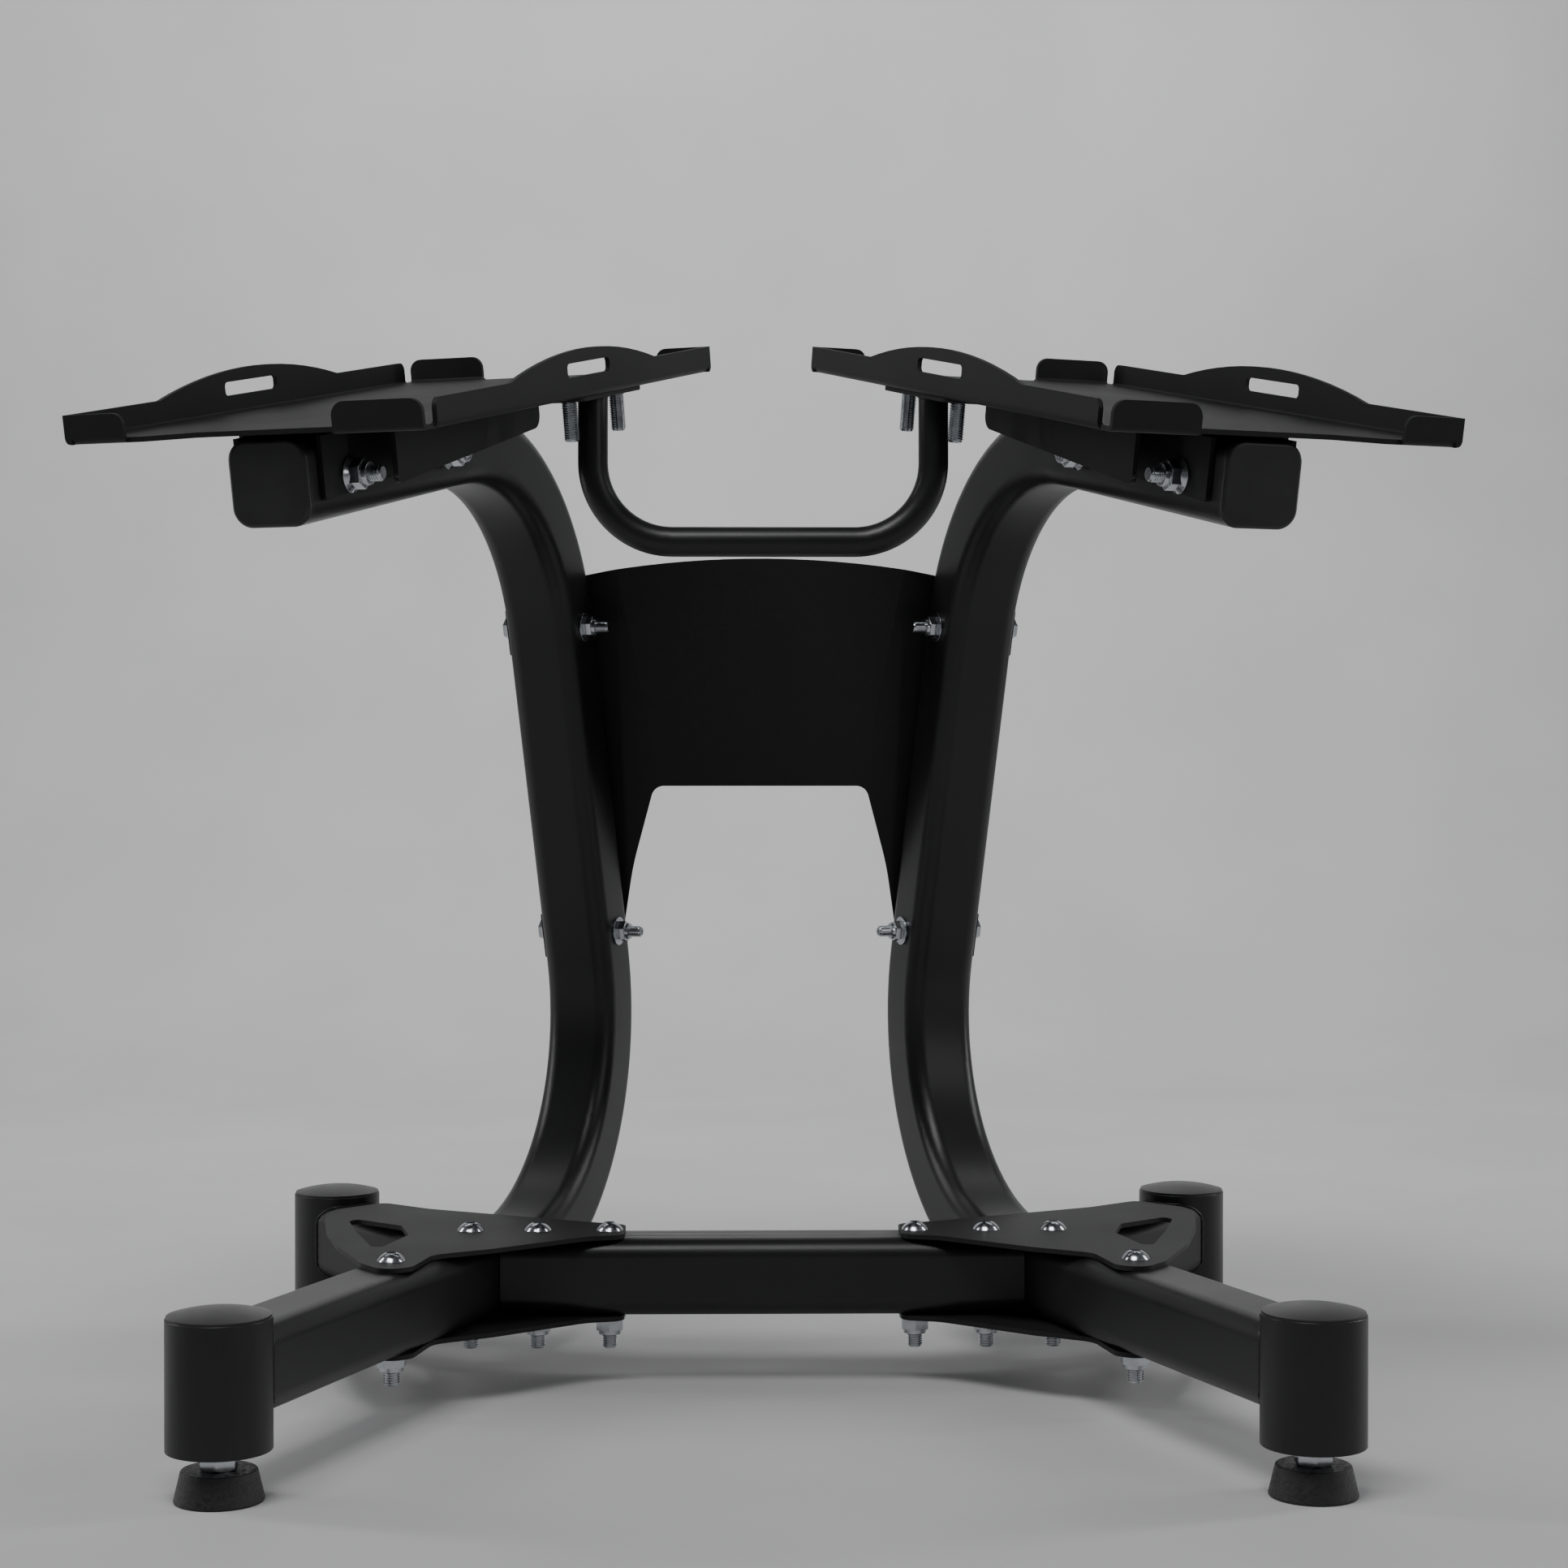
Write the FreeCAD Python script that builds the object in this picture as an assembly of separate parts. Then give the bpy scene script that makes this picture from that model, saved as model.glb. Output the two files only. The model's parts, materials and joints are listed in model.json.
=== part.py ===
import FreeCAD, Part
import math
import os

# Stand for a pair of adjustable dumbbells, knocked down into its bolted pieces.
# Millimetres. +Z up, +X to the right, the user stands on the -Y side.
# The pieces are built about the crossbar: y = 0 is its centreline. Each one is then
# moved back, so that the origin is on the floor under the middle of the whole outline.

os.makedirs("parts", exist_ok=True)
V = FreeCAD.Vector

# how far the crossbar's centreline lies behind the middle of the outline
CROSSBAR_BACK = 61.3

# square tube of the frame
TUBE = 50.0
WALL = 2.0
TUBE_R = 12.0
HALF = TUBE / 2

# the two bent frames lie in vertical planes, toed out by this angle
TOE = 20.5
FRAME_X = 187.5
BASE_Z = 70.0
ARM_SLOPE = 11.3
LEAN = 15.5

# base
POST_R = 29.5
POST_WALL = 3.0
POST_BOTTOM = 28.0
POST_TOP = 101.0
FRONT_POST_Y = -304.0
REAR_POST_X = 298.0
REAR_POST_Y = 145.5
PLATE = 3.0

# bent frame path, in the plane of the bend: forward distance and height
LOW_R = 155.0
LOW_T = -35.3
STRAIGHT_TOP = 498.0
HIGH_R = 150.0
ARM_LENGTH = 215.0

# trays
TRAY_LENGTH = 440.0
TRAY_WIDTH = 228.0
SHEET = 3.0
LIP = 17.0
TAB = 18.0
TRAY_BACK = 191.4

# fasteners: M10 in the base and trays, M8 through the panel
M10 = 10.0
M8 = 8.0
ROOT_SHARE = 0.84
HOLE_PLAY = 0.25
SLIDE_PLAY = 0.05

SIN_TOE = math.sin(math.radians(TOE))
COS_TOE = math.cos(math.radians(TOE))
SIN_LEAN = math.sin(math.radians(LEAN))
COS_LEAN = math.cos(math.radians(LEAN))

nodes = {}


def add(name, shape):
    nodes[name] = shape


def mirrored(shape):
    return shape.mirror(V(0, 0, 0), V(1, 0, 0))


def add_pair(name, right):
    add("right_" + name, right)
    add("left_" + name, mirrored(right))


def add_set(name, right_shapes):
    """Identical fasteners of both sides, as separate solids in one node."""
    left_shapes = [mirrored(shape) for shape in right_shapes]
    add(name, Part.makeCompound(right_shapes + left_shapes))


def box(x0, x1, y0, y1, z0, z1):
    return Part.makeBox(x1 - x0, y1 - y0, z1 - z0, V(x0, y0, z0))


def rod(radius, length, at, axis):
    return Part.makeCylinder(radius, length, at, axis)


def moved(shape, placement):
    out = shape.copy()
    out.Placement = placement.multiply(out.Placement)
    return out


# ---------------------------------------------------------------- frames

def frame_placement():
    """Right-hand bend plane: local X forward, local Y outward."""
    turn = FreeCAD.Rotation(V(0, 0, 1), TOE - 90)
    return FreeCAD.Placement(V(FRAME_X, 0, 0), turn)


def low_centre():
    return V(LOW_T, 0, BASE_Z + LOW_R)


def straight_foot():
    c = low_centre()
    return V(c.x - LOW_R * COS_LEAN, 0, c.z + LOW_R * SIN_LEAN)


def straight_head():
    p = straight_foot()
    length = (STRAIGHT_TOP - p.z) / COS_LEAN
    return V(p.x + length * SIN_LEAN, 0, STRAIGHT_TOP)


def high_centre():
    p = straight_head()
    return V(p.x + HIGH_R * COS_LEAN, 0, p.z - HIGH_R * SIN_LEAN)


def arm_root():
    c = high_centre()
    a = math.radians(ARM_SLOPE)
    return V(c.x + HIGH_R * math.sin(a), 0, c.z + HIGH_R * math.cos(a))


def arm_end():
    p = arm_root()
    a = math.radians(ARM_SLOPE)
    return V(p.x + ARM_LENGTH * math.cos(a), 0, p.z - ARM_LENGTH * math.sin(a))


def arm_placement():
    """Arm frame: origin at the arm's end, X down the slope, Z normal to the tray."""
    tip = FreeCAD.Rotation(V(0, 1, 0), ARM_SLOPE)
    local = FreeCAD.Placement(arm_end(), tip)
    return frame_placement().multiply(local)


def tray_placement():
    """Tray frame: origin on the underside of the tray plate, at its centre."""
    lift = HALF + PLATE
    local = FreeCAD.Placement(V(-TRAY_BACK, 0, lift), FreeCAD.Rotation())
    return arm_placement().multiply(local)


# ---------------------------------------------------------------- profiles

def rounded_wire(w, h, r):
    """Rounded rectangle in the YZ plane, centred: w across, h high."""
    a = w / 2
    b = h / 2
    wire = rounded_polygon([(-b, -a, r), (b, -a, r), (b, a, r), (-b, a, r)])
    wire.rotate(V(0, 0, 0), V(0, 1, 0), -90)
    return wire


def tube_face(w, h, r, wall):
    outer = Part.Face(rounded_wire(w, h, r))
    if wall <= 0:
        return outer
    inner = Part.Face(rounded_wire(w - 2 * wall, h - 2 * wall, r - wall))
    return outer.cut(inner).Faces[0]


def path_tube(wall):
    """The bent frame tube as one solid: leg, lower bend, upright, upper bend, arm."""
    face = tube_face(TUBE, TUBE, TUBE_R, wall)
    face.translate(V(LOW_T, 0, BASE_Z))
    leg_length = -FRONT_POST_Y / COS_TOE - LOW_T
    pieces = [face.extrude(V(leg_length, 0, 0))]
    turn = 90 + LEAN
    pieces.append(face.revolve(low_centre(), V(0, 1, 0), turn))
    foot_face = face.copy()
    foot_face.rotate(low_centre(), V(0, 1, 0), turn)
    rise = straight_head() - straight_foot()
    pieces.append(foot_face.extrude(rise))
    head_face = foot_face.copy()
    head_face.translate(rise)
    bend = 90 + ARM_SLOPE - LEAN
    pieces.append(head_face.revolve(high_centre(), V(0, 1, 0), bend))
    root_face = head_face.copy()
    root_face.rotate(high_centre(), V(0, 1, 0), bend)
    pieces.append(root_face.extrude(arm_end() - arm_root()))
    solids = [p if p.ShapeType == "Solid" else Part.Solid(Part.Shell(p.Faces)) for p in pieces]
    whole = solids[0].multiFuse(solids[1:])
    return whole.removeSplitter()


def straight_tube(p, q, wall):
    """Square tube between two points at the same height."""
    d = q.sub(p)
    face = tube_face(TUBE, TUBE, TUBE_R, wall)
    body = face.extrude(V(d.Length, 0, 0))
    yaw = math.degrees(math.atan2(d.y, d.x))
    return moved(body, FreeCAD.Placement(p, FreeCAD.Rotation(V(0, 0, 1), yaw)))


def rounded_polygon(corners):
    """Closed wire at z=0 through (x, y, corner radius) points."""
    n = len(corners)
    cut = []
    for i in range(n):
        x, y, r = corners[i]
        here = V(x, y, 0)
        before = V(corners[i - 1][0], corners[i - 1][1], 0)
        after = V(corners[(i + 1) % n][0], corners[(i + 1) % n][1], 0)
        a = before.sub(here).normalize()
        b = after.sub(here).normalize()
        half = a.getAngle(b) / 2
        if r <= 0:
            cut.append((here, None, here))
            continue
        reach = r / math.tan(half)
        bisector = a.add(b).normalize()
        mid = here.add(bisector.multiply(r / math.sin(half) - r))
        cut.append((here.add(a.multiply(reach)), mid, here.add(b.multiply(reach))))
    edges = []
    for i in range(n):
        first, mid, last = cut[i]
        if mid is not None:
            edges.append(Part.Arc(first, mid, last).toShape())
        start = cut[(i + 1) % n][0]
        if last.sub(start).Length > 1e-6:
            edges.append(Part.makeLine(last, start))
    return Part.Wire(edges)


def slab(corners, z0, z1):
    face = Part.Face(rounded_polygon(corners))
    face.translate(V(0, 0, z0))
    return face.extrude(V(0, 0, z1 - z0))


def hexagon(across_flats, z0, z1):
    r = across_flats / math.sqrt(3)
    pts = []
    for i in range(6):
        a = math.radians(60 * i + 30)
        pts.append((r * math.cos(a), r * math.sin(a), 0))
    prism = slab(pts, z0, z1)
    bevel = Part.makeCone(r, r + 4 * (z1 - z0), z1 - z0, V(0, 0, z0), V(0, 0, 1))
    bevel_top = Part.makeCone(r + 4 * (z1 - z0), r, z1 - z0, V(0, 0, z0), V(0, 0, 1))
    shave = 0.06 * across_flats
    low = Part.makeCylinder(r - shave / 2, z1 - z0, V(0, 0, z0), V(0, 0, 1))
    prism = prism.common(bevel.fuse(low))
    return prism.common(bevel_top.fuse(low))


def dome_head(radius, height):
    """Button head sitting on z=0, rising to height."""
    big = (radius * radius + height * height) / (2 * height)
    ball = Part.makeSphere(big, V(0, 0, height - big))
    return ball.common(Part.makeCylinder(radius, height, V(0, 0, 0), V(0, 0, 1)))


# ---------------------------------------------------------------- fasteners
# Each fastener is built along -Z with the bearing face of the head at z=0.

def shank(diameter, length, bare):
    """Shank whose last stretch, past the nut, has the radius of the thread's root."""
    radius = diameter / 2
    root = ROOT_SHARE * radius
    chamfer = 0.8
    grip = rod(radius, length - bare, V(0, 0, bare - length), V(0, 0, 1))
    end = rod(root, bare - chamfer, V(0, 0, chamfer - length), V(0, 0, 1))
    tip = Part.makeCone(root - chamfer, root, chamfer, V(0, 0, -length), V(0, 0, 1))
    return grip.fuse(end).fuse(tip)


def button_bolt(length, bare):
    head = dome_head(8.75, 5.5)
    socket = hexagon(6, 2.6, 5.6)
    return head.fuse(shank(M10, length, bare)).cut(socket)


def flange_bolt(diameter, flats, head_height, length, bare):
    flange = Part.makeCone(flats * 0.66, flats * 0.56, 2.0, V(0, 0, 0), V(0, 0, 1))
    head = hexagon(flats, 0, head_height)
    return flange.fuse(head).fuse(shank(diameter, length, bare))


def washer(outer, hole, thickness, z_top):
    ring = rod(outer / 2, thickness, V(0, 0, z_top - thickness), V(0, 0, 1))
    return ring.cut(rod(hole / 2, thickness, V(0, 0, z_top - thickness), V(0, 0, 1)))


def lock_nut(flats, height, hole, z_top, flange):
    """Nut whose bearing face is at z_top, collar of the lock insert pointing down."""
    collar = 0.28 * height
    body = hexagon(flats, z_top - height + collar, z_top)
    ring = rod(flats * 0.43, collar + 0.5, V(0, 0, z_top - height), V(0, 0, 1))
    out = body.fuse(ring)
    if flange > 0:
        skirt = Part.makeCone(flats * 0.5, flange / 2, 2.6, V(0, 0, z_top - 3.6), V(0, 0, 1))
        rim = rod(flange / 2, 1.0, V(0, 0, z_top - 1.0), V(0, 0, 1))
        out = out.fuse(skirt).fuse(rim)
    return out.cut(rod(hole / 2, height + 2, V(0, 0, z_top - height - 1), V(0, 0, 1)))


def at_points(shape, points):
    return [moved(shape, FreeCAD.Placement(p, FreeCAD.Rotation())) for p in points]


# ---------------------------------------------------------------- base

def base_bolt_points():
    """Three bolts on the crossbar line and one on the front leg."""
    leg = 120.0
    return [(100.0, 0.0), (147.0, 0.0), (191.0, 0.0), (FRAME_X + leg * SIN_TOE, -leg * COS_TOE)]


def base_holes(z0, z1):
    drills = []
    for x, y in base_bolt_points():
        drills.append(rod(M10 / 2 + HOLE_PLAY, z1 - z0, V(x, y, z0), V(0, 0, 1)))
    return drills


def front_post_centre():
    return V(FRAME_X - FRONT_POST_Y * SIN_TOE / COS_TOE, FRONT_POST_Y, 0)


def rear_post_centre():
    return V(REAR_POST_X, REAR_POST_Y, 0)


def side_plane_box(y0, y1):
    """Block in the right-hand bend plane frame, between two lateral offsets."""
    return moved(box(-600, 600, y0, y1, -50, 900), frame_placement())


def make_crossbar():
    tube = straight_tube(V(-260, 0, BASE_Z), V(260, 0, BASE_Z), WALL)
    keep_out = side_plane_box(-HALF, 400)
    tube = tube.cut(keep_out).cut(mirrored(keep_out))
    for drill in base_holes(BASE_Z - 40, BASE_Z + 40):
        tube = tube.cut(drill).cut(mirrored(drill))
    return tube


def make_bent_frame():
    tube = moved(path_tube(WALL), frame_placement())
    tube = tube.cut(rod(POST_R, 200, front_post_centre(), V(0, 0, 1)))
    for drill in base_holes(BASE_Z - 40, BASE_Z + 35):
        tube = tube.cut(drill)
    for drill in panel_drills(M8 / 2 + HOLE_PLAY, -HALF - 5, HALF + 5):
        tube = tube.cut(drill)
    for drill in arm_drills(M10 / 2 + HOLE_PLAY, -HALF - 5, HALF + 5):
        tube = tube.cut(drill)
    return tube


def make_rear_leg():
    start = V(FRAME_X, 0, BASE_Z)
    end = rear_post_centre().add(V(0, 0, BASE_Z))
    tube = straight_tube(start, end, WALL)
    tube = tube.cut(side_plane_box(-400, HALF))
    return tube.cut(rod(POST_R, 200, rear_post_centre(), V(0, 0, 1)))


def make_post(centre):
    height = POST_TOP - POST_BOTTOM
    low = centre.add(V(0, 0, POST_BOTTOM))
    tube = rod(POST_R, height, low, V(0, 0, 1))
    return tube.cut(rod(POST_R - POST_WALL, height, low, V(0, 0, 1)))


def make_post_cap(centre):
    plug_r = POST_R - POST_WALL - 0.1
    rim = rod(POST_R - 0.8, 1.2, V(0, 0, POST_TOP), V(0, 0, 1))
    lens = moved(dome_head(POST_R - 0.8, 4.2), FreeCAD.Placement(V(0, 0, POST_TOP + 1.2), FreeCAD.Rotation()))
    plug = rod(plug_r, 10, V(0, 0, POST_TOP - 10), V(0, 0, 1))
    hollow = rod(plug_r - 2.5, 8, V(0, 0, POST_TOP - 10), V(0, 0, 1))
    cap = rim.fuse(lens).fuse(plug).cut(hollow)
    return moved(cap, FreeCAD.Placement(centre, FreeCAD.Rotation()))


def gusset_outline():
    """Outline of the plate that ties the crossbar, leg and rear leg together."""
    return [
        (90.0, -21.0, 10.0),
        (114.0, -27.0, 30.0),
        (171.0, -72.0, 40.0),
        (206.0, -93.0, 18.0),
        (214.0, -134.0, 10.0),
        (229.0, -147.0, 12.0),
        (247.0, -122.0, 20.0),
        (270.0, -60.0, 120.0),
        (285.0, 0.0, 120.0),
        (296.0, 70.0, 40.0),
        (290.0, 88.0, 8.0),
        (262.0, 117.0, 8.0),
        (227.0, 89.0, 60.0),
        (118.0, 33.0, 30.0),
        (90.0, 21.0, 10.0),
    ]


def gusset_window():
    return [
        (272.0, 46.0, 4.0),
        (238.0, 18.0, 6.0),
        (229.5, -18.0, 6.0),
        (241.0, -63.0, 3.0),
        (248.0, -63.0, 3.0),
        (265.0, -5.0, 60.0),
        (275.0, 36.0, 5.0),
    ]


def make_gusset(z0):
    plate = slab(gusset_outline(), z0, z0 + PLATE)
    plate = plate.cut(slab(gusset_window(), z0 - 1, z0 + PLATE + 1))
    for drill in base_holes(z0 - 1, z0 + PLATE + 1):
        plate = plate.cut(drill)
    if z0 > BASE_Z:
        plate = plate.cut(moved(path_tube(0), frame_placement()))
        plate = max(plate.Solids, key=lambda s: s.Volume)
    return plate


def make_base():
    top = BASE_Z + HALF
    bottom = BASE_Z - HALF
    add("crossbar", make_crossbar())
    add_pair("bent_frame_tube", make_bent_frame())
    add_pair("rear_leg_tube", make_rear_leg())
    add_pair("front_post", make_post(front_post_centre()))
    add_pair("rear_post", make_post(rear_post_centre()))
    add_pair("front_post_cap", make_post_cap(front_post_centre()))
    add_pair("rear_post_cap", make_post_cap(rear_post_centre()))
    add_pair("upper_gusset_plate", make_gusset(top))
    add_pair("lower_gusset_plate", make_gusset(bottom - PLATE))
    heads = [V(x, y, top + PLATE) for x, y in base_bolt_points()]
    feet = [V(x, y, bottom - PLATE) for x, y in base_bolt_points()]
    add_set("base_bolts", at_points(button_bolt(77.0, 9.0), heads))
    add_set("base_washers", at_points(washer(21.0, 10.5, 2.0, 0.0), feet))
    add_set("base_lock_nuts", at_points(lock_nut(17.0, 10.0, M10, -2.0, 0.0), feet))


# ---------------------------------------------------------------- levelling feet

FOOT_HEIGHT = 17.5
STUD_R = 6.0


def make_foot_insert(centre):
    disc = rod(POST_R - POST_WALL, 6.0, centre.add(V(0, 0, POST_BOTTOM)), V(0, 0, 1))
    return disc.cut(rod(STUD_R + SLIDE_PLAY, 6.0, centre.add(V(0, 0, POST_BOTTOM)), V(0, 0, 1)))


def make_foot_stud(centre):
    flange = rod(10.0, 5.0, V(0, 0, 7.0), V(0, 0, 1))
    shank = rod(STUD_R, 51.0, V(0, 0, 7.0), V(0, 0, 1))
    nut = hexagon(19.0, FOOT_HEIGHT + 0.05, FOOT_HEIGHT + 10.0)
    return moved(flange.fuse(shank).fuse(nut), FreeCAD.Placement(centre, FreeCAD.Rotation()))


def make_foot_pad(centre):
    pad = Part.makeCone(25.2, 21.0, FOOT_HEIGHT, V(0, 0, 0), V(0, 0, 1))
    rims = [e for e in pad.Edges if e.Curve.TypeId == "Part::GeomCircle"]
    pad = pad.makeFillet(1.2, rims)
    pocket = rod(10.05, 5.1, V(0, 0, 6.95), V(0, 0, 1))
    neck = rod(STUD_R + SLIDE_PLAY, 12.0, V(0, 0, 6.95), V(0, 0, 1))
    return moved(pad.cut(pocket).cut(neck), FreeCAD.Placement(centre, FreeCAD.Rotation()))


def make_feet():
    for name, centre in (("front", front_post_centre()), ("rear", rear_post_centre())):
        add_pair(name + "_foot_insert", make_foot_insert(centre))
        add_pair(name + "_foot_stud", make_foot_stud(centre))
        add_pair(name + "_foot_pad", make_foot_pad(centre))


# ---------------------------------------------------------------- trays

ARCH_RISE = 13.0
ARCH_HALF = 113.0
ARCH_SHIFT = 6.0
SLOT_SHIFT = 9.0
SLOT_HALF = 33.0
SLOT_LOW = 13.5
SLOT_HIGH = 22.0
BEND_R = 4.5
TAB_NEAR = 56.5
TAB_FAR = 112.0
END_LIP = 38.6
RECESS = 14.0


def bend_profile(height):
    """Cross-section of an upturned lip in YZ: plate edge at y=0, outer face at y=BEND_R."""
    r = BEND_R
    k = math.sqrt(0.5)
    inner = r - SHEET
    edges = [
        Part.makeLine(V(0, 0, 0), V(0, 0, SHEET)),
        Part.Arc(V(0, 0, SHEET), V(0, inner * k, r - inner * k), V(0, inner, r)).toShape(),
        Part.makeLine(V(0, inner, r), V(0, inner, height)),
        Part.makeLine(V(0, inner, height), V(0, r, height)),
        Part.makeLine(V(0, r, height), V(0, r, r)),
        Part.Arc(V(0, r, r), V(0, r * k, r - r * k), V(0, 0, 0)).toShape(),
    ]
    return Part.Face(Part.Wire(edges))


def lip_outline(x0, x1, height, r0, r1):
    """Elevation of a lip in XZ with rounded free top corners, as a prism along Y."""
    pts = [(x0, -1.0, 0), (x1, -1.0, 0), (x1, height, r1), (x0, height, r0)]
    face = Part.Face(rounded_polygon(pts))
    prism = face.extrude(V(0, 0, 40))
    prism.rotate(V(0, 0, 0), V(1, 0, 0), 90)
    prism.translate(V(0, 20, 0))
    return prism


def arch_prism(x_mid):
    left = V(x_mid - ARCH_HALF, 0, LIP)
    right = V(x_mid + ARCH_HALF, 0, LIP)
    crown = V(x_mid, 0, LIP + ARCH_RISE)
    low_r = V(x_mid + ARCH_HALF, 0, LIP - 3)
    low_l = V(x_mid - ARCH_HALF, 0, LIP - 3)
    edges = [
        Part.Arc(left, crown, right).toShape(),
        Part.makeLine(right, low_r),
        Part.makeLine(low_r, low_l),
        Part.makeLine(low_l, left),
    ]
    face = Part.Face(Part.Wire(edges))
    face.translate(V(0, -20, 0))
    return face.extrude(V(0, 40, 0))


def slot_prism(x_mid):
    z0 = SLOT_LOW
    z1 = SLOT_HIGH
    x0 = x_mid - SLOT_HALF
    x1 = x_mid + SLOT_HALF
    face = Part.Face(rounded_polygon([(x0, z0, 3.0), (x1, z0, 3.0), (x1, z1, 3.0), (x0, z1, 3.0)]))
    prism = face.extrude(V(0, 0, 40))
    prism.rotate(V(0, 0, 0), V(1, 0, 0), 90)
    prism.translate(V(0, 20, 0))
    return prism


def plain_lip(x0, x1, height, r0, r1):
    body = bend_profile(height).extrude(V(x1 - x0, 0, 0))
    body.translate(V(x0, 0, 0))
    return body.common(lip_outline(x0, x1, height, r0, r1))


def side_lip():
    """Long arched lip with the carrying slot, running to the corner at +x."""
    end = TRAY_LENGTH / 2
    start = -end + 14.0
    tall = bend_profile(LIP + ARCH_RISE + 1).extrude(V(end - start, 0, 0))
    tall.translate(V(start, 0, 0))
    shape = lip_outline(start, end, LIP, 6.0, 0).fuse(arch_prism(ARCH_SHIFT))
    return tall.common(shape).cut(slot_prism(SLOT_SHIFT))


def tray_plate():
    """Flat plate: full length along the sides, recessed with diagonals at the ends."""
    a = TRAY_LENGTH / 2
    b = TRAY_WIDTH / 2 - BEND_R
    e = a - BEND_R
    m = e - RECESS
    half_a = [
        (e, b, 0),
        (e, b - END_LIP - 5, 4.0),
        (m, b - END_LIP - 32, 8.0),
        (m, -TAB_NEAR + 3, 2.0),
        (e, -TAB_NEAR + 3, 0),
        (e, -TAB_FAR, 0),
        (m, -TAB_FAR, 2.0),
        (m, -b, 0),
    ]
    half_b = [(-x, -y, r) for x, y, r in half_a]
    return slab(half_a + half_b, 0, SHEET)


def make_tray():
    """Dimensions repeat after a half turn about the middle of the tray."""
    a = TRAY_LENGTH / 2 - BEND_R
    b = TRAY_WIDTH / 2 - BEND_R
    half_turn = FreeCAD.Placement(V(0, 0, 0), FreeCAD.Rotation(V(0, 0, 1), 180))
    quarter = FreeCAD.Rotation(V(0, 0, 1), -90)
    tray = tray_plate()
    lip = moved(side_lip(), FreeCAD.Placement(V(0, b, 0), FreeCAD.Rotation()))
    end = plain_lip(-TRAY_WIDTH / 2, -TRAY_WIDTH / 2 + END_LIP, LIP, 0, 7.0)
    end = moved(end, FreeCAD.Placement(V(a, 0, 0), quarter))
    tab = plain_lip(TAB_NEAR, TAB_FAR, TAB, 8.0, 8.0)
    tab = moved(tab, FreeCAD.Placement(V(a, 0, 0), quarter))
    pieces = []
    for piece in (lip, end, tab):
        pieces.append(piece)
        pieces.append(moved(piece, half_turn))
    tray = tray.multiFuse(pieces).removeSplitter()
    for p in brace_bolt_points():
        tray = tray.cut(rod(M10 / 2 + HOLE_PLAY, 20, V(p[0], p[1], -5), V(0, 0, 1)))
    return moved(tray, tray_placement())


# ---------------------------------------------------------------- tray mounts
# Built in the arm frame: x runs down the arm from its end, z is normal to the tray.

FRONT_CLAMP_X = -41.5
REAR_CLAMP_X = -171.0
CLAMP_GRIP = TUBE + 2 * PLATE
CLAMP_NUT = 13.0
CHANNEL_HALF = 48.0


def arm_drills(radius, y0, y1):
    drills = []
    for x in (FRONT_CLAMP_X, REAR_CLAMP_X):
        drills.append(moved(rod(radius, y1 - y0, V(x, y0, 0), V(0, 1, 0)), arm_placement()))
    return drills


def side_plate(x_rear, x_front, z_top, drop_rear, drop_front, y0, thickness):
    """Vertical plate with a sloping lower edge and rounded lower corners, as a slab in XZ."""
    pts = [
        (x_rear, z_top, 0),
        (x_rear, z_top - drop_rear, 9.0),
        (x_front, z_top - drop_front, 3.0),
        (x_front, z_top, 0),
    ]
    face = Part.Face(rounded_polygon(pts))
    prism = face.extrude(V(0, 0, thickness))
    prism.rotate(V(0, 0, 0), V(1, 0, 0), 90)
    prism.translate(V(0, y0 + thickness, 0))
    return prism


def make_channel():
    """Inverted channel under the tray; its flanges stand clear of the arm."""
    web = box(-325.0, -55.0, -CHANNEL_HALF + 1.5, CHANNEL_HALF - 1.5, HALF, HALF + PLATE)
    inner = side_plate(-268.0, -62.0, HALF + PLATE, 22.0, 36.5, -CHANNEL_HALF, PLATE)
    outer = side_plate(-268.0, -62.0, HALF + PLATE, 22.0, 36.5, CHANNEL_HALF - PLATE, PLATE)
    web = web.cut(box(-326, -267, -60, -27, HALF - 1, HALF + PLATE + 1))
    web = web.cut(box(-326, -267, 27, 60, HALF - 1, HALF + PLATE + 1))
    return moved(web.fuse(inner).fuse(outer).removeSplitter(), arm_placement())


def make_doubler(y0):
    """Stiffening plate on the outer face of one channel flange, front part only."""
    plate = side_plate(-182.0, -56.5, HALF + PLATE, 24.5, 33.0, y0, PLATE)
    return moved(plate, arm_placement())


def make_cheeks():
    """Plates that hug the two sides of the arm and take the front clamping bolt."""
    pair = []
    for y0 in (-HALF - PLATE, HALF):
        plate = side_plate(-205.0, -9.5, HALF, 26.0, 37.0, y0, PLATE)
        for x in (FRONT_CLAMP_X, REAR_CLAMP_X):
            plate = plate.cut(rod(M10 / 2 + HOLE_PLAY, 2 * PLATE, V(x, y0 - 1, 0), V(0, 1, 0)))
        pair.append(moved(plate, arm_placement()))
    return pair


def along_arm_bolt(shape, x):
    """Head on the outer cheek, nut on the inner cheek."""
    turn = FreeCAD.Rotation(V(1, 0, 0), -90)
    local = FreeCAD.Placement(V(x, HALF + PLATE, 0), turn)
    return moved(shape, arm_placement().multiply(local))


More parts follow.
